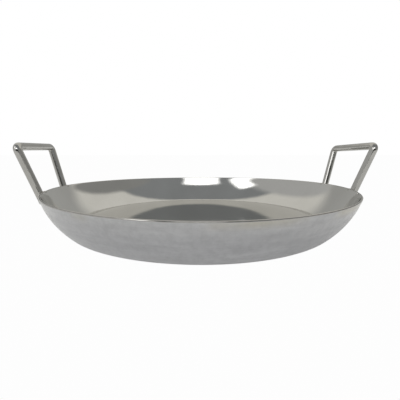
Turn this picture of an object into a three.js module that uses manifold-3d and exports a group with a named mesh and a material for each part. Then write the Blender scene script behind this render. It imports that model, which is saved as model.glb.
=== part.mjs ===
// Two-handled shallow steel pan: a pressed dish of polished stainless sheet, with a slightly dished
// floor and a flared wall, and two bent rod handles, each welded to the outside of the wall by its two
// feet. Millimetres, +Z up. The origin is the centre of the flat spot that the pan stands on, and the
// handles are on the X axis.
import * as THREE from "three";
import { mergeVertices } from "three/addons/utils/BufferGeometryUtils.js";
import Module from "manifold-3d";

const wasm = await Module();
wasm.setup();

// Driving dimensions of the dish, all on its outer surface. From the middle out it is a flat spot, the
// floor's shallow sphere, a tight bend, the wall's wide bend and a straight lip.
const RIM_RADIUS = 254;
const SHEET = 3;
const BASE_FLAT_RADIUS = 60;
const FLOOR_SLOPE = THREE.MathUtils.degToRad(5); // at the floor's edge
const CREASE_RADIUS = 10;
const CREASE_SLOPE = THREE.MathUtils.degToRad(41); // at the foot of the wall
const WALL_RADIUS = 110;
const LIP_SLOPE = THREE.MathUtils.degToRad(70.4);
const LIP_LENGTH = 9.3;
const LIP_ROUNDING = 1;

// Driving dimensions of a handle, on the centreline of its rod.
const ROD_RADIUS = 6;
const FOOT_LENGTH = 17; // the part of each leg that lies beside the wall, below the rim
const LEG_LENGTH = 75; // from the rim's level to the crossbar, along the handle's lean
const LEAN = THREE.MathUtils.degToRad(16.6); // outwards from the vertical
const HALF_SPAN_AT_RIM = 48.5;
const HALF_SPAN_AT_TOP = 60.5;
const BEND_RADIUS = 7;

// Driving dimensions of the welds.
const FIT_GAP = 0.3; // between touching solids
const FILLET_RADIUS = 3.2;
const FILLET_SIDE = 6.9; // from the leg's axis to the bead's, along the wall
const FILLET_PROUD = 0.9; // the bead's axis stands this far off the wall
const FILLET_TOP = 2.5; // below the rim
const FILLET_ROUND = 4.3; // how far the bead's round end reaches below the foot
const TACK_LENGTH = 9; // along the rim
const TACK_WIDTH = 5.5;
const TACK_HEIGHT = 4.5;

// How finely round shapes are cut into flats.
const TURNS = 80;
const FLOOR_STEPS = 3;
const CREASE_STEPS = 5;
const WALL_STEPS = 6;
const LIP_STEPS = 3;
const ROD_SIDES = 16;
const ROD_STEPS = 5; // along each straight and each bend
const BEAD_SIDES = 10;
const BEAD_STEPS = 24;

// The meridian follows from the sizes above: each arc runs into the next at one tangent. Angles are the
// slope of the surface, and points are (radius, height).
const arcRun = (radius, from, to) => radius * (Math.sin(to) - Math.sin(from));
const arcRise = (radius, from, to) => radius * (Math.cos(from) - Math.cos(to));
const FLOOR_EDGE_RADIUS =
  RIM_RADIUS -
  LIP_LENGTH * Math.cos(LIP_SLOPE) -
  arcRun(WALL_RADIUS, CREASE_SLOPE, LIP_SLOPE) -
  arcRun(CREASE_RADIUS, FLOOR_SLOPE, CREASE_SLOPE);
const FLOOR_RADIUS = FLOOR_EDGE_RADIUS / Math.sin(FLOOR_SLOPE);
const FLOOR_CENTRE = new THREE.Vector2(0, Math.sqrt(FLOOR_RADIUS ** 2 - BASE_FLAT_RADIUS ** 2));
// The point that lies `shift` from an arc's centre, towards where the surface has that slope.
const towards = (centre, slope, shift) =>
  new THREE.Vector2(centre.x + shift * Math.sin(slope), centre.y - shift * Math.cos(slope));
const CREASE_CENTRE = towards(FLOOR_CENTRE, FLOOR_SLOPE, FLOOR_RADIUS - CREASE_RADIUS);
const WALL_CENTRE = towards(CREASE_CENTRE, CREASE_SLOPE, CREASE_RADIUS - WALL_RADIUS);
const LIP_UP = new THREE.Vector2(Math.cos(LIP_SLOPE), Math.sin(LIP_SLOPE));
const LIP_OUT = new THREE.Vector2(Math.sin(LIP_SLOPE), -Math.cos(LIP_SLOPE));
const RIM_HEIGHT =
  WALL_CENTRE.y - WALL_RADIUS * Math.cos(LIP_SLOPE) + LIP_LENGTH * Math.sin(LIP_SLOPE);

const steel = (name, color, roughness) =>
  Object.assign(new THREE.MeshStandardMaterial({ color, roughness, metalness: 1 }), { name });
const dishSteel = steel("dish_steel", 0xb4b4b2, 0.18);
const rodSteel = steel("rod_steel", 0xa9a9a4, 0.22);
const weldSteel = steel("weld_steel", 0x8e8c86, 0.4);

const toSolid = (geometry) => {
  const bare = geometry.index ? geometry.toNonIndexed() : geometry.clone();
  bare.deleteAttribute("normal");
  bare.deleteAttribute("uv");
  const merged = mergeVertices(bare, 1e-4);
  return new wasm.Manifold(
    new wasm.Mesh({
      numProp: 3,
      vertProperties: merged.attributes.position.array,
      triVerts: new Uint32Array(merged.index.array),
    }),
  );
};

const toGeometry = (solid) => {
  const { vertProperties, triVerts } = solid.getMesh();
  return new THREE.BufferGeometry()
    .setAttribute("position", new THREE.BufferAttribute(vertProperties, 3))
    .setIndex(new THREE.BufferAttribute(triVerts, 1));
};

const arc = (centre, radius, from, to, count) =>
  Array.from({ length: count + 1 }, (_, i) => towards(centre, from + ((to - from) * i) / count, radius));

// One face of the sheet from the edge of the base flat to the foot of the lip, `inset` inside the outer
// surface.
const sheetFace = (inset) => {
  const floorRadius = FLOOR_RADIUS - inset;
  const flatEdge = Math.acos((FLOOR_CENTRE.y - inset) / floorRadius);
  const floor = arc(FLOOR_CENTRE, floorRadius, flatEdge, FLOOR_SLOPE, FLOOR_STEPS);
  const crease = arc(CREASE_CENTRE, CREASE_RADIUS - inset, FLOOR_SLOPE, CREASE_SLOPE, CREASE_STEPS);
  const wall = arc(WALL_CENTRE, WALL_RADIUS - inset, CREASE_SLOPE, LIP_SLOPE, WALL_STEPS);
  return [...floor, ...crease.slice(1), ...wall.slice(1)];
};

// The sheet's closed half section, turned about the axis. `grow` thickens it all over.
const dishGeometry = (grow) => {
  const outer = sheetFace(-grow);
  const inner = sheetFace(SHEET + grow);
  const rise = LIP_LENGTH + grow - LIP_ROUNDING;
  const corner = (face, aside) =>
    face.at(-1).clone().addScaledVector(LIP_UP, rise).addScaledVector(LIP_OUT, aside * LIP_ROUNDING);
  const lip = [
    ...arc(corner(outer, -1), LIP_ROUNDING, LIP_SLOPE, LIP_SLOPE + Math.PI / 2, LIP_STEPS),
    ...arc(corner(inner, 1), LIP_ROUNDING, LIP_SLOPE + Math.PI / 2, LIP_SLOPE + Math.PI, LIP_STEPS),
  ];
  const onAxis = (z) => new THREE.Vector2(0, z);
  const outline = [onAxis(-grow), ...outer, ...lip, ...inner.reverse(), onAxis(SHEET + grow)];
  return new THREE.LatheGeometry(outline, TURNS).rotateX(Math.PI / 2);
};

// A bar's centreline made of several curves, each cut into the same number of steps.
class BarCurve extends THREE.Curve {
  constructor(pieces) {
    super();
    this.pieces = pieces;
  }
  getPoint(t, target = new THREE.Vector3()) {
    const at = t * this.pieces.length;
    const index = Math.min(Math.floor(at), this.pieces.length - 1);
    return this.pieces[index].getPoint(at - index, target);
  }
  getUtoTmapping(u) {
    return u;
  }
}

const roundBar = (curve, radius, sides, steps) => {
  const section = new THREE.Shape().absarc(0, 0, radius, 0, 2 * Math.PI);
  return new THREE.ExtrudeGeometry(section, {
    steps,
    curveSegments: sides / 2,
    extrudePath: curve,
    bevelEnabled: false,
  });
};

// A point of a handle's plane: `back` runs to the back of the pan, `up` runs up the handle's lean
// from the rim's level. Side is -1 for the left handle and +1 for the right one.
const FOOT_RADIUS = RIM_RADIUS + ROD_RADIUS + FIT_GAP; // of each leg's axis at the rim's level
const HANDLE_RADIUS = Math.sqrt(FOOT_RADIUS ** 2 - HALF_SPAN_AT_RIM ** 2);
const SPLAY = (HALF_SPAN_AT_TOP - HALF_SPAN_AT_RIM) / LEG_LENGTH;
const handlePoint = (side, back, up) =>
  new THREE.Vector3(
    side * (HANDLE_RADIUS + up * Math.sin(LEAN)),
    back,
    RIM_HEIGHT + up * Math.cos(LEAN),
  );
const legPoint = (side, end, up) => handlePoint(side, end * (HALF_SPAN_AT_RIM + SPLAY * up), up);

// A round bend of the rod at `corner`, between the points that lie `before` and `after` it.
const bend = (before, corner, after) => {
  const back = before.clone().sub(corner).normalize();
  const on = after.clone().sub(corner).normalize();
  const turn = Math.PI - back.angleTo(on);
  const tangent = BEND_RADIUS * Math.tan(turn / 2);
  const pull = tangent - (4 / 3) * Math.tan(turn / 4) * BEND_RADIUS;
  const at = (direction, distance) => corner.clone().addScaledVector(direction, distance);
  return new THREE.CubicBezierCurve3(at(back, tangent), at(back, pull), at(on, pull), at(on, tangent));
};

const handleGeometry = (side, radius) => {
  const [frontFoot, frontTop, backTop, backFoot] = [
    legPoint(side, -1, -FOOT_LENGTH),
    legPoint(side, -1, LEG_LENGTH),
    legPoint(side, 1, LEG_LENGTH),
    legPoint(side, 1, -FOOT_LENGTH),
  ];
  const frontBend = bend(frontFoot, frontTop, backTop);
  const backBend = bend(frontTop, backTop, backFoot);
  const pieces = [
    new THREE.LineCurve3(frontFoot, frontBend.v0),
    frontBend,
    new THREE.LineCurve3(frontBend.v3, backBend.v0),
    backBend,
    new THREE.LineCurve3(backBend.v3, backFoot),
  ];
  return roundBar(new BarCurve(pieces), radius, ROD_SIDES, pieces.length * ROD_STEPS);
};

// A point on the outside of the wall beside a leg: `aside` along the rim from the leg's axis, `down`
// the wall from the rim, and `proud` of its surface.
const wallPoint = (side, end, aside, down, proud) => {
  const leg = legPoint(side, end, -down);
  const alongLip = Math.min(down, LIP_LENGTH);
  const slope = LIP_SLOPE - (down - alongLip) / WALL_RADIUS;
  const meridian = towards(WALL_CENTRE, slope, WALL_RADIUS + proud).addScaledVector(
    LIP_UP,
    LIP_LENGTH - alongLip,
  );
  const azimuth = Math.atan2(leg.y, leg.x) + aside / RIM_RADIUS;
  return new THREE.Vector3(meridian.x * Math.cos(azimuth), meridian.x * Math.sin(azimuth), meridian.y);
};

// The fillet runs down one side of a foot, round its end and up the other side.
const filletGeometry = (side, end) => {
  const point = (aside, down) => wallPoint(side, end, aside, down, FILLET_PROUD);
  const run = (aside) => [point(aside, FILLET_TOP), point(aside, (FILLET_TOP + FOOT_LENGTH) / 2)];
  const round = [];
  for (let step = 0; step <= 4; step++) {
    const angle = (Math.PI * step) / 4;
    round.push(point(-FILLET_SIDE * Math.cos(angle), FOOT_LENGTH + FILLET_ROUND * Math.sin(angle)));
  }
  const route = [...run(-FILLET_SIDE), ...round, ...run(FILLET_SIDE).reverse()];
  return roundBar(new THREE.CatmullRomCurve3(route), FILLET_RADIUS, BEAD_SIDES, BEAD_STEPS);
};

// The tack is a blob on top of the rim's edge, where a leg passes it.
const tackGeometry = (side, end) => {
  const edge = wallPoint(side, end, 0, 0, -SHEET / 2);
  return new THREE.SphereGeometry(0.5, ROD_SIDES, BEAD_SIDES)
    .scale(TACK_WIDTH, TACK_LENGTH, TACK_HEIGHT)
    .rotateZ(Math.atan2(edge.y, edge.x))
    .translate(edge.x, edge.y, edge.z);
};

const part = new THREE.Group();
const addNode = (name, geometry, material) => {
  const mesh = new THREE.Mesh(geometry, material);
  mesh.name = name;
  part.add(mesh);
};

addNode("pan_dish", dishGeometry(0), dishSteel);

// The welds are cut back by the dish and by the rod, each thickened by the gap that solids keep.
const dishKeepOut = toSolid(dishGeometry(FIT_GAP));
for (const [sideName, side] of [["left", -1], ["right", 1]]) {
  addNode(`${sideName}_handle`, handleGeometry(side, ROD_RADIUS), rodSteel);
  const rodKeepOut = toSolid(handleGeometry(side, ROD_RADIUS + FIT_GAP));
  const cutBack = (geometry) => toGeometry(toSolid(geometry).subtract(dishKeepOut).subtract(rodKeepOut));
  for (const [endName, end] of [["front", -1], ["back", 1]]) {
    addNode(`${sideName}_${endName}_weld`, cutBack(filletGeometry(side, end)), weldSteel);
    addNode(`${sideName}_${endName}_rim_tack`, cutBack(tackGeometry(side, end)), weldSteel);
  }
}

export default part;
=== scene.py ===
"""A shallow steel pan with two welded rod handles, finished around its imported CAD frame."""
import math

import bpy
from mathutils import Matrix, Vector, noise


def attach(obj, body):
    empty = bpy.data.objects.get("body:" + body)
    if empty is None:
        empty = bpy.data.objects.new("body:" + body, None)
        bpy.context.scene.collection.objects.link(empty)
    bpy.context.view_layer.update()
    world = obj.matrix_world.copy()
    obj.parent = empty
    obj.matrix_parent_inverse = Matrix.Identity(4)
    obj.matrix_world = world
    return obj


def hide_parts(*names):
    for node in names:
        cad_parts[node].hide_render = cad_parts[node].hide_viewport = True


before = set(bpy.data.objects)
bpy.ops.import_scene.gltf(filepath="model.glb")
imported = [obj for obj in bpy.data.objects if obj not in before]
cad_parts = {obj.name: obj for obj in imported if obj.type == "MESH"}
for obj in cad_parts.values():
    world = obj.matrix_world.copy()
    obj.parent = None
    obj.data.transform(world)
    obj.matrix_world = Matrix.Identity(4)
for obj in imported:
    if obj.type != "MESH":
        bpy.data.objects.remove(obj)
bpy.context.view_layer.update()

MM = 0.001

# The dish, on its outer surface, as in the CAD model: a flat spot, the floor's shallow sphere, a tight
# bend, the wall's wide bend and a straight lip. The inner floor is the whole sphere, with no flat spot.
RIM_RADIUS = 254 * MM
SHEET = 3 * MM
BASE_FLAT_RADIUS = 60 * MM
FLOOR_SLOPE = math.radians(5)
CREASE_RADIUS = 10 * MM
CREASE_SLOPE = math.radians(41)
WALL_RADIUS = 110 * MM
LIP_SLOPE = math.radians(70.4)
LIP_LENGTH = 9.3 * MM
LIP_ROUNDING = 1.3 * MM
TURNS = 360
FLOOR_STEPS, CREASE_STEPS, WALL_STEPS, LIP_STEPS, EDGE_STEPS = 30, 12, 26, 4, 7
SHARP_EDGE = math.radians(50)

# How the real dish strays from a true turned shape.
RIM_WARP = 1.9 * MM  # the rim rises this far at the handles and dips as far between them
OFF_CENTRE = 0.02  # sideways, for each unit below the rim
RIPPLE = 0.16 * MM  # unevenness left by pressing and polishing
BROAD_RIPPLE_LENGTH = 120 * MM
SHORT_RIPPLE_LENGTH = 50 * MM
SHORT_RIPPLE_SHARE = 0.3

# The handles, on the centreline of their rod.
ROD_RADIUS = 6 * MM
FIT_GAP = 0.3 * MM
FOOT_LENGTH = 17 * MM
LEG_LENGTH = 75 * MM
LEAN = math.radians(16.6)
HALF_SPAN_AT_RIM = 48.5 * MM
HALF_SPAN_AT_TOP = 60.5 * MM
BEND_RADIUS = 7 * MM
UNEVEN_LEGS = 1.1 * MM  # each handle's crossbar rises and dips by this at its two ends
FOOT_CHAMFER = 0.7 * MM
ROD_SIDES, LEG_STEPS, CROSSBAR_STEPS, BEND_STEPS = 40, 20, 24, 16

# The welds.
FILLET_RADIUS = 3.2 * MM
FILLET_SIDE = 6.9 * MM
FILLET_PROUD = 0.9 * MM
FILLET_TOP = 2.5 * MM
FILLET_ROUND = 4.3 * MM
FILLET_RIPPLE_PITCH = 1.9 * MM
FILLET_TAPER_LENGTH = 3 * MM
FILLET_LUMP_LENGTH = 4 * MM
FILLET_SIDE_STEPS, FILLET_END_STEPS, FILLET_FINE_STEPS, FILLET_SIDES = 12, 16, 4, 20
TACK_SIZE = Vector((5.5, 9, 4.5)) * MM
TACK_RINGS, TACK_SIDES = 18, 28
TACK_SWELL = 0.14

# The camera, from the middle of the rim's plane.
CAMERA_DISTANCE = 511.5 * MM
CAMERA_HEIGHT = 59.6 * MM
CAMERA_ASIDE = -1 * MM
CAMERA_PITCH = math.radians(9.03)
CAMERA_TURN = math.radians(-4.29)
CAMERA_LENS = 25.94
SENSOR_WIDTH = 36

FLOOR_EDGE_RADIUS = (
    RIM_RADIUS
    - LIP_LENGTH * math.cos(LIP_SLOPE)
    - WALL_RADIUS * (math.sin(LIP_SLOPE) - math.sin(CREASE_SLOPE))
    - CREASE_RADIUS * (math.sin(CREASE_SLOPE) - math.sin(FLOOR_SLOPE))
)
FLOOR_RADIUS = FLOOR_EDGE_RADIUS / math.sin(FLOOR_SLOPE)


def along_normal(centre, slope, shift):
    """From an arc's centre to where the surface has that slope, as (radius, height)."""
    return Vector((centre.x + shift * math.sin(slope), centre.y - shift * math.cos(slope)))


FLOOR_CENTRE = Vector((0, math.sqrt(FLOOR_RADIUS**2 - BASE_FLAT_RADIUS**2)))
CREASE_CENTRE = along_normal(FLOOR_CENTRE, FLOOR_SLOPE, FLOOR_RADIUS - CREASE_RADIUS)
WALL_CENTRE = along_normal(CREASE_CENTRE, CREASE_SLOPE, CREASE_RADIUS - WALL_RADIUS)
LIP_UP = Vector((math.cos(LIP_SLOPE), math.sin(LIP_SLOPE)))
LIP_OUT = Vector((math.sin(LIP_SLOPE), -math.cos(LIP_SLOPE)))
RIM_HEIGHT = WALL_CENTRE.y - WALL_RADIUS * math.cos(LIP_SLOPE) + LIP_LENGTH * math.sin(LIP_SLOPE)


def add_camera():
    data = bpy.data.cameras.new("camera")
    data.lens = CAMERA_LENS
    data.sensor_width = SENSOR_WIDTH
    camera = bpy.data.objects.new("camera", data)
    bpy.context.scene.collection.objects.link(camera)
    place = Vector((CAMERA_ASIDE, -CAMERA_DISTANCE, RIM_HEIGHT + CAMERA_HEIGHT))
    turn = Matrix.Rotation(CAMERA_TURN, 4, "Z")
    tilt = Matrix.Rotation(math.radians(90) - CAMERA_PITCH, 4, "X")
    camera.matrix_world = turn @ Matrix.Translation(place) @ tilt
    bpy.context.scene.camera = camera


def link_mesh(name, points, faces, materials, face_slots=None):
    mesh = bpy.data.meshes.new(name)
    mesh.from_pydata([tuple(p) for p in points], [], faces)
    for material in materials:
        mesh.materials.append(material)
    if face_slots:
        mesh.polygons.foreach_set("material_index", face_slots)
    mesh.shade_smooth()
    mesh.set_sharp_from_angle(angle=SHARP_EDGE)
    mesh.validate()
    obj = bpy.data.objects.new(name, mesh)
    bpy.context.scene.collection.objects.link(obj)
    return obj


def add_piece(piece, node):
    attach(piece, "root")
    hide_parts(node)


# ---- the dish ----

def arc(centre, radius, start, end, count):
    return [along_normal(centre, start + (end - start) * i / count, radius) for i in range(count + 1)]


def sheet_face(inset):
    """One face of the sheet, from the axis to where the lip's rounding starts."""
    floor = arc(FLOOR_CENTRE, FLOOR_RADIUS - inset, 0, FLOOR_SLOPE, FLOOR_STEPS)
    crease = arc(CREASE_CENTRE, CREASE_RADIUS - inset, FLOOR_SLOPE, CREASE_SLOPE, CREASE_STEPS)[1:]
    wall = arc(WALL_CENTRE, WALL_RADIUS - inset, CREASE_SLOPE, LIP_SLOPE, WALL_STEPS)[1:]
    rise = LIP_LENGTH - LIP_ROUNDING
    lip = [wall[-1] + LIP_UP * rise * k / LIP_STEPS for k in range(1, LIP_STEPS + 1)]
    return floor + crease + wall + lip


OUTSIDE, EDGE, INSIDE = range(3)


def dish_outline():
    """The half section from the outer floor round the edge to the inner floor, and each span's part."""
    outer = sheet_face(0)
    for point in outer:
        point.y = max(point.y, 0)
    inner = sheet_face(SHEET)
    top = LIP_SLOPE + math.pi / 2
    low_centre = outer[-1] - LIP_OUT * LIP_ROUNDING
    high_centre = inner[-1] + LIP_OUT * LIP_ROUNDING
    low = arc(low_centre, LIP_ROUNDING, LIP_SLOPE, top, EDGE_STEPS)
    high = arc(high_centre, LIP_ROUNDING, top, LIP_SLOPE + math.pi, EDGE_STEPS)
    edge = low[1:] + high[:-1]
    outline = outer + edge + inner[::-1]
    parts = [OUTSIDE] * (len(outer) - 1) + [EDGE] * (len(edge) + 1) + [INSIDE] * (len(inner) - 1)
    return outline, parts


def unevenness(x, y):
    """A slow, shallow ripple of the pressed sheet, the same on both faces."""
    broad = noise.noise(Vector((x / BROAD_RIPPLE_LENGTH, y / BROAD_RIPPLE_LENGTH, 0.3)))
    short = noise.noise(Vector((x / SHORT_RIPPLE_LENGTH, y / SHORT_RIPPLE_LENGTH, 4.1)))
    return RIPPLE * (broad + SHORT_RIPPLE_SHARE * short)


def settle(point):
    """Gives a point of the true turned dish its place in the real, slightly warped one."""
    x, y, z = point
    radius = math.hypot(x, y)
    share = max(0, radius**2 - BASE_FLAT_RADIUS**2) / (RIM_RADIUS**2 - BASE_FLAT_RADIUS**2)
    saddle = (x * x - y * y) / max(radius * radius, 1e-9)
    fade = min(1, max(0, radius / BASE_FLAT_RADIUS - 1))
    lift = RIM_WARP * saddle * share + unevenness(x, y) * fade
    return Vector((x - OFF_CENTRE * (RIM_HEIGHT - z), y, z + lift))


def make_dish(outside, edge, inside):
    outline, parts = dish_outline()
    points = [settle((0, 0, outline[0].y))]
    for ring in outline[1:-1]:
        for turn in range(TURNS):
            angle = 2 * math.pi * turn / TURNS
            points.append(settle((ring.x * math.cos(angle), ring.x * math.sin(angle), ring.y)))
    points.append(settle((0, 0, outline[-1].y)))
    faces = []
    slots = []
    last_ring = 1 + (len(outline) - 3) * TURNS
    for turn in range(TURNS):
        beside = (turn + 1) % TURNS
        faces.append((0, 1 + beside, 1 + turn))
        slots.append(OUTSIDE)
        for ring, part in enumerate(parts[1:-1]):
            low = 1 + ring * TURNS
            high = low + TURNS
            faces.append((low + turn, low + beside, high + beside, high + turn))
            slots.append(part)
        faces.append((last_ring + turn, last_ring + beside, len(points) - 1))
        slots.append(INSIDE)
    return link_mesh("dish", points, faces, [outside, edge, inside], slots)


# ---- bars ----

def sweep(route, radius_at, sides):
    """A closed bar along a route. radius_at takes a point's index, the distance run and the angle."""
    last = len(route) - 1
    tangents = [(route[min(i + 1, last)] - route[max(i - 1, 0)]).normalized() for i in range(last + 1)]
    normal = tangents[0].orthogonal().normalized()
    points = []
    faces = []
    run = 0.0
    for i, centre in enumerate(route):
        if i:
            run += (centre - route[i - 1]).length
            normal = (normal - tangents[i] * normal.dot(tangents[i])).normalized()
        across = tangents[i].cross(normal)
        for side in range(sides):
            angle = 2 * math.pi * side / sides
            direction = normal * math.cos(angle) + across * math.sin(angle)
            points.append(centre + direction * radius_at(i, run, angle))
    for i in range(last):
        for side in range(sides):
            beside = (side + 1) % sides
            a = i * sides
            b = a + sides
            faces.append((a + side, a + beside, b + beside, b + side))
    for end, order in ((0, -1), (last, 1)):
        centre = len(points)
        points.append(route[end].copy())
        for side in range(sides):
            beside = (side + 1) % sides
            pair = (end * sides + side, end * sides + beside)
            faces.append((*pair[::order], centre))
    return points, faces


# ---- the handles ----

FOOT_RADIUS = RIM_RADIUS + ROD_RADIUS + FIT_GAP
HANDLE_RADIUS = math.sqrt(FOOT_RADIUS**2 - HALF_SPAN_AT_RIM**2)
SPLAY = (HALF_SPAN_AT_TOP - HALF_SPAN_AT_RIM) / LEG_LENGTH


def leg_point(side, end, up):
    """A point of a leg's axis. side is -1 for the left handle, and end is -1 for its front leg."""
    return Vector((
        side * (HANDLE_RADIUS + up * math.sin(LEAN)),
        end * (HALF_SPAN_AT_RIM + SPLAY * up),
        RIM_HEIGHT + up * math.cos(LEAN),
    ))


def bend(before, corner, after):
    back = (before - corner).normalized()
    on = (after - corner).normalized()
    turn = math.pi - back.angle(on)
    centre = corner + (back + on).normalized() * (BEND_RADIUS / math.cos(turn / 2))
    start = corner + back * BEND_RADIUS * math.tan(turn / 2) - centre
    axis = back.cross(on).normalized()
    turns = [Matrix.Rotation(-turn * k / BEND_STEPS, 3, axis) for k in range(BEND_STEPS + 1)]
    return [centre + step @ start for step in turns]


def straight(start, end, count):
    return [start.lerp(end, k / count) for k in range(count + 1)]


def handle_route(side):
    feet = [leg_point(side, end, -FOOT_LENGTH) for end in (-1, 1)]
    tops = [leg_point(side, end, LEG_LENGTH - side * end * UNEVEN_LEGS) for end in (-1, 1)]
    front = bend(feet[0], tops[0], tops[1])
    back = bend(tops[0], tops[1], feet[1])
    chamfer = (front[0] - feet[0]).normalized() * FOOT_CHAMFER
    other_chamfer = (back[-1] - feet[1]).normalized() * FOOT_CHAMFER
    return [
        feet[0],
        *straight(feet[0] + chamfer, front[0], LEG_STEPS)[:-1],
        *front,
        *straight(front[-1], back[0], CROSSBAR_STEPS)[1:-1],
        *back,
        *straight(back[-1], feet[1] + other_chamfer, LEG_STEPS)[1:],
        feet[1],
    ]


def make_handle(name, side, material):
    route = handle_route(side)
    ends = (0, len(route) - 1)

    def radius_at(index, *_):
        return ROD_RADIUS - (FOOT_CHAMFER if index in ends else 0)

    points, faces = sweep(route, radius_at, ROD_SIDES)
    return link_mesh(name, points, faces, [material])


# ---- the welds ----

def wall_point(side, end, aside, down, proud):
    """A point beside a leg on the outside of the wall, as in the CAD model."""
    leg = leg_point(side, end, -down)
    along_lip = min(down, LIP_LENGTH)
    slope = LIP_SLOPE - (down - along_lip) / WALL_RADIUS
    meridian = along_normal(WALL_CENTRE, slope, WALL_RADIUS + proud) + LIP_UP * (LIP_LENGTH - along_lip)
    azimuth = math.atan2(leg.y, leg.x) + aside / RIM_RADIUS
    return Vector((meridian.x * math.cos(azimuth), meridian.x * math.sin(azimuth), meridian.y))


def make_fillet(name, side, end, material):
    """A rippled bead that runs down one side of a foot, round its end and up the other side."""
    reach = FOOT_LENGTH - FILLET_TOP
    downs = [FILLET_TOP + reach * k / FILLET_SIDE_STEPS for k in range(FILLET_SIDE_STEPS)]
    route = [wall_point(side, end, -FILLET_SIDE, down, FILLET_PROUD) for down in downs]
    for k in range(FILLET_END_STEPS + 1):
        angle = math.pi * k / FILLET_END_STEPS
        down = FOOT_LENGTH + FILLET_ROUND * math.sin(angle)
        route.append(wall_point(side, end, -FILLET_SIDE * math.cos(angle), down, FILLET_PROUD))
    route += [wall_point(side, end, FILLET_SIDE, down, FILLET_PROUD) for down in reversed(downs)]
    fine = []
    for a, b in zip(route, route[1:]):
        fine += straight(a, b, FILLET_FINE_STEPS)[:-1]
    fine.append(route[-1])
    length = sum((b - a).length for a, b in zip(fine, fine[1:]))

    def radius_at(_, run, angle):
        taper = min(1, 0.45 + min(run, length - run) / FILLET_TAPER_LENGTH)
        scallop = math.sin(2 * math.pi * (run / FILLET_RIPPLE_PITCH + 0.12 * math.cos(angle)))
        lump = noise.noise(Vector((run / FILLET_LUMP_LENGTH, side * 3.1, end * 5.7)))
        return FILLET_RADIUS * taper * (0.97 + 0.045 * scallop + 0.09 * lump)

    points, faces = sweep(fine, radius_at, FILLET_SIDES)
    return link_mesh(name, points, faces, [material])


def make_tack(name, side, end, material):
    """A lumpy blob of weld where a leg passes the rim's edge."""
    centre = wall_point(side, end, 0, 0, -SHEET / 2)
    turn = Matrix.Rotation(math.atan2(centre.y, centre.x), 3, "Z")
    points = []
    for ring in range(1, TACK_RINGS):
        polar = math.pi * ring / TACK_RINGS
        for k in range(TACK_SIDES):
            angle = 2 * math.pi * k / TACK_SIDES
            direction = Vector((
                math.sin(polar) * math.cos(angle),
                math.sin(polar) * math.sin(angle),
                math.cos(polar),
            ))
            swell = 1 + TACK_SWELL * noise.noise(direction * 1.7 + Vector((side, end, 0.5)) * 3)
            points.append(centre + turn @ (direction * TACK_SIZE * 0.5 * swell))
    faces = []
    for ring in range(TACK_RINGS - 2):
        for k in range(TACK_SIDES):
            a = ring * TACK_SIDES
            b = a + TACK_SIDES
            beside = (k + 1) % TACK_SIDES
            faces.append((a + k, b + k, b + beside, a + beside))
    faces.append(tuple(range(TACK_SIDES)))
    last = (TACK_RINGS - 2) * TACK_SIDES
    faces.append(tuple(reversed(range(last, last + TACK_SIDES))))
    return link_mesh(name, points, faces, [material])


# ---- materials ----

class Shading:
    """Adds nodes to one node tree; an input is given as a number, a colour or another node's output."""

    def __init__(self, tree):
        self.tree = tree

    def add(self, kind, settings=None, **inputs):
        node = self.tree.nodes.new("ShaderNode" + kind)
        for key, value in (settings or {}).items():
            setattr(node, key, value)
        for key, value in inputs.items():
            self.feed(node, int(key[1:]) if key[0] == "_" else key.replace("_", " "), value)
        return node

    def feed(self, node, socket, value):
        if isinstance(value, bpy.types.NodeSocket):
            self.tree.links.new(value, node.inputs[socket])
        else:
            node.inputs[socket].default_value = value

    def math(self, operation, a, b=0.0, clamp=False):
        return self.add("Math", {"operation": operation, "use_clamp": clamp}, _0=a, _1=b).outputs[0]

    def vector(self, operation, a, b=(0, 0, 0)):
        node = self.add("VectorMath", {"operation": operation}, _0=a, _1=b)
        return node.outputs["Value" if operation in ("LENGTH", "DOT_PRODUCT", "DISTANCE") else "Vector"]

    def ramp(self, value, low, high, to_low=0.0, to_high=1.0):
        settings = {"interpolation_type": "SMOOTHSTEP"}
        node = self.add("MapRange", settings, Value=value, From_Min=low, From_Max=high)
        self.feed(node, "To Min", to_low)
        self.feed(node, "To Max", to_high)
        return node.outputs["Result"]

    def blend(self, share, a, b):
        node = self.add("Mix", {"data_type": "RGBA"})
        self.feed(node, 0, share)
        self.feed(node, 6, a)
        self.feed(node, 7, b)
        return node.outputs[2]

    def noise(self, place, scale, detail=2.0, roughness=0.5):
        return self.add("TexNoise", Vector=place, Scale=scale, Detail=detail, Roughness=roughness).outputs[0]

    def bump(self, height, distance, strength=1.0, normal=None):
        node = self.add("Bump", Height=height, Distance=distance, Strength=strength)
        if normal:
            self.feed(node, "Normal", normal)
        return node.outputs[0]


def rgb(red, green, blue):
    return (red, green, blue, 1.0)


def metal(name):
    """A new metal material: its helper, its shader node and the point being shaded."""
    material = bpy.data.materials.new(name)
    material.use_nodes = True
    shade = Shading(material.node_tree)
    shader = material.node_tree.nodes["Principled BSDF"]
    shader.inputs["Metallic"].default_value = 1.0
    place = shade.add("TexCoord").outputs["Object"]
    return material, shade, shader, place


def ring_marks(shade, place, fineness):
    """Fine marks that run round the dish: quick change up and down the wall, slow change round it."""
    stretched = shade.vector("MULTIPLY", place, (14, 14, fineness))
    return shade.noise(stretched, 1.0, 3.0, 0.6)


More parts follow.
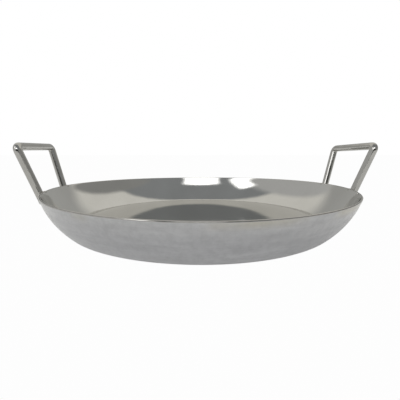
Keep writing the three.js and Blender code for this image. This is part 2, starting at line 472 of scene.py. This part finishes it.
def inside_steel():
    material, shade, shader, place = metal("dish_inside")
    cloud = shade.noise(place, 11, 4, 0.55)
    swirl = shade.noise(shade.vector("MULTIPLY", place, (1, 3, 1)), 45, 4, 0.6)
    rubbed = ring_marks(shade, place, 500)
    fine = shade.noise(place, 900, 2)
    tone = shade.blend(cloud, rgb(0.56, 0.555, 0.535), rgb(0.72, 0.715, 0.695))
    radius = shade.vector("LENGTH", shade.vector("MULTIPLY", place, (1, 1, 0)))
    wall = shade.ramp(radius, FLOOR_EDGE_RADIUS - 0.004, FLOOR_EDGE_RADIUS + 0.001)
    shade.feed(shader, "Base Color", shade.blend(wall, shade.blend(0.6, tone, rgb(0.55, 0.55, 0.535)), tone))
    haze = shade.math("ADD", shade.math("MULTIPLY", swirl, 0.06), shade.math("MULTIPLY", rubbed, 0.05))
    shade.feed(shader, "Roughness", shade.math("ADD", haze, 0.02))
    waves = shade.bump(shade.noise(place, 24, 4, 0.6), 0.0006, 0.34)
    shade.feed(shader, "Normal", shade.bump(fine, 0.00002, 0.3, waves))
    return material


def outside_steel():
    material, shade, shader, place = metal("dish_outside")
    lines = ring_marks(shade, place, 1500)
    bands = ring_marks(shade, place, 130)
    cloud = shade.noise(place, 7, 3)
    mottle = shade.noise(place, 120, 4, 0.65)
    tone = shade.blend(bands, rgb(0.47, 0.47, 0.48), rgb(0.73, 0.73, 0.74))
    tone = shade.blend(shade.ramp(mottle, 0.35, 0.7, 0.0, 0.3), tone, rgb(0.40, 0.40, 0.41))
    height = shade.add("SeparateXYZ", _0=place).outputs[2]
    # Painted reflection: a patchy yellowish band painted into the colour just under the lip, in place of a
    # warm reflection there
    painted_reflection_band = shade.ramp(height, RIM_HEIGHT - 0.014, RIM_HEIGHT - 0.004)
    heat_tint_and_painted_reflection = shade.math("MULTIPLY", painted_reflection_band, shade.ramp(cloud, 0.46, 0.62, 0.0, 0.45))
    tone = shade.blend(heat_tint_and_painted_reflection, tone, rgb(0.60, 0.55, 0.42))
    spots = shade.add("TexVoronoi", Vector=place, Scale=26.0).outputs["Distance"]
    pits = shade.ramp(spots, 0.025, 0.05, 1.0, 0.0)
    shade.feed(shader, "Base Color", shade.blend(pits, tone, rgb(0.16, 0.155, 0.15)))
    scratched = shade.ramp(lines, 0.3, 0.7, 0.09, 0.19)
    shade.feed(shader, "Roughness", shade.math("ADD", scratched, shade.ramp(mottle, 0.4, 0.7, 0.0, 0.08)))
    waves = shade.bump(shade.noise(place, 18, 2), 0.001, 0.45)
    shade.feed(shader, "Normal", shade.bump(lines, 0.00005, 0.45, waves))
    return material


def edge_steel():
    material, shade, shader, place = metal("dish_edge")
    nicks = shade.noise(place, 160, 4, 0.6)
    shade.feed(shader, "Base Color", shade.blend(nicks, rgb(0.40, 0.39, 0.37), rgb(0.58, 0.57, 0.55)))
    shade.feed(shader, "Roughness", shade.ramp(nicks, 0.3, 0.7, 0.08, 0.16))
    shade.feed(shader, "Normal", shade.bump(nicks, 0.0002, 0.05))
    return material


def rod_steel():
    material, shade, shader, place = metal("rod")
    specks = shade.noise(place, 420, 2)
    cloud = shade.noise(place, 55, 3)
    smear = shade.noise(shade.vector("MULTIPLY", place, (160, 160, 22)), 1.0, 3)
    shade.feed(shader, "Base Color", shade.blend(cloud, rgb(0.44, 0.435, 0.41), rgb(0.64, 0.63, 0.61)))
    shade.feed(shader, "Roughness", shade.ramp(smear, 0.35, 0.65, 0.07, 0.17))
    uneven = shade.bump(cloud, 0.0012, 0.25)
    shade.feed(shader, "Normal", shade.bump(specks, 0.00001, 0.2, uneven))
    return material


def weld_steel():
    material, shade, shader, place = metal("weld")
    cloud = shade.noise(place, 260, 4, 0.6)
    tint = shade.noise(place, 90, 2)
    tone = shade.blend(cloud, rgb(0.34, 0.33, 0.31), rgb(0.60, 0.59, 0.56))
    heat_tint_and_painted_reflection = shade.math("MULTIPLY", shade.ramp(tint, 0.45, 0.62), 0.55)
    tone = shade.blend(heat_tint_and_painted_reflection, tone, rgb(0.52, 0.40, 0.22))
    shade.feed(shader, "Base Color", tone)
    shade.feed(shader, "Roughness", shade.ramp(cloud, 0.3, 0.7, 0.2, 0.42))
    shade.feed(shader, "Normal", shade.bump(cloud, 0.0002, 0.5))
    return material


# ---- the studio ----

def patch_share(shade, ranges, softness):
    """How much of a soft-edged patch covers a place; ranges holds (place, low end, high end) pairs."""
    share = 1.0
    for place, low, high in ranges:
        rise = shade.ramp(place, low - softness, low + softness)
        fall = shade.ramp(place, high - softness, high + softness, 1.0, 0.0)
        share = shade.math("MULTIPLY", share, shade.math("MULTIPLY", rise, fall))
    return share


FLOOR_HALF_SIZE = 40
FLOOR_PAPER = rgb(0.82, 0.82, 0.81)
PAPER_GLOW = rgb(0.2, 0.2, 0.2)
WHITE_PAPER = rgb(0.985, 0.985, 0.985)
BLACK = rgb(0.0, 0.0, 0.0)


def add_floor():
    """A plain floor: white to the camera, and to every other ray pale paper with a faint even glow."""
    material = bpy.data.materials.new("floor_paper")
    material.use_nodes = True
    shade = Shading(material.node_tree)
    shader = material.node_tree.nodes["Principled BSDF"]
    shader.inputs["Roughness"].default_value = 1.0
    shader.inputs["Specular IOR Level"].default_value = 0.0
    shader.inputs["Emission Strength"].default_value = 1.0
    seen = shade.add("LightPath").outputs["Is Camera Ray"]
    shade.feed(shader, "Base Color", shade.blend(seen, FLOOR_PAPER, BLACK))
    shade.feed(shader, "Emission Color", shade.blend(seen, PAPER_GLOW, WHITE_PAPER))
    size = FLOOR_HALF_SIZE
    corners = [(-size, -size, 0), (size, -size, 0), (size, size, 0), (-size, size, 0)]
    floor = link_mesh("floor", corners, [(0, 1, 2, 3)], [material])


# The studio round the pan: a pale wall behind, grey walls and ceiling, a dark front and two soft boxes.
# Each reaches from left to right and from front to back, in degrees from straight overhead, and has a colour
# and the softness of its edges; a later one covers an earlier one.
WALL_BEHIND = rgb(0.74, 0.725, 0.68)
STUDIO_SURFACES = (
    ("low_wall_behind", -150, 150, 57, 150, rgb(0.41, 0.41, 0.395), 8),
    ("ceiling", -150, 150, -140, 5, rgb(0.27, 0.28, 0.285), 4),
    ("left_wall", -150, -42, -140, 60, rgb(0.50, 0.50, 0.49), 5),
    ("right_wall", 50, 150, -140, 60, rgb(0.30, 0.30, 0.29), 4),
    ("left_soft_box", -46, -32, -56, -22, rgb(3, 3, 3), 4),
    ("middle_soft_box", -18, 16, -58, -45, rgb(3, 3, 3), 4),
    ("dark_front", -35, 60, -120, -62, rgb(0.04, 0.04, 0.035), 4),
)


def add_studio_light():
    world = bpy.data.worlds.new("studio")
    bpy.context.scene.world = world
    world.use_nodes = True
    shade = Shading(world.node_tree)
    background = world.node_tree.nodes["Background"]
    direction = shade.add("TexCoord").outputs["Generated"]
    turned = shade.add("VectorRotate", {"rotation_type": "Z_AXIS"}, Vector=direction, Angle=-CAMERA_TURN)
    axes = shade.add("SeparateXYZ", _0=turned.outputs[0]).outputs
    off_zenith = shade.math("MULTIPLY", shade.math("ARCCOSINE", axes[2]), 180 / math.pi)
    flat = shade.math("SQRT", shade.math("SUBTRACT", 1.0, shade.math("MULTIPLY", axes[2], axes[2])))
    reach = shade.math("DIVIDE", off_zenith, shade.math("MAXIMUM", flat, 1e-4))
    right = shade.math("MULTIPLY", axes[0], reach)
    back = shade.math("MULTIPLY", axes[1], reach)
    tone = WALL_BEHIND
    for _, left_end, right_end, front_end, back_end, colour, softness in STUDIO_SURFACES:
        ranges = ((right, left_end, right_end), (back, front_end, back_end))
        tone = shade.blend(patch_share(shade, ranges, softness), tone, colour)
    seen = shade.add("LightPath").outputs["Is Camera Ray"]
    shade.feed(background, "Color", shade.blend(seen, tone, rgb(1, 1, 1)))


add_camera()
dish = make_dish(outside_steel(), edge_steel(), inside_steel())
add_piece(dish, "pan_dish")
rod = rod_steel()
weld = weld_steel()
for side_name, side in (("left", -1), ("right", 1)):
    add_piece(make_handle(f"{side_name}_rod", side, rod), f"{side_name}_handle")
    for end_name, end in (("front", -1), ("back", 1)):
        corner = f"{side_name}_{end_name}"
        add_piece(make_fillet(f"{corner}_bead", side, end, weld), f"{corner}_weld")
        add_piece(make_tack(f"{corner}_tack", side, end, weld), f"{corner}_rim_tack")
add_floor()
add_studio_light()
bpy.context.scene.view_settings.view_transform = "Standard"
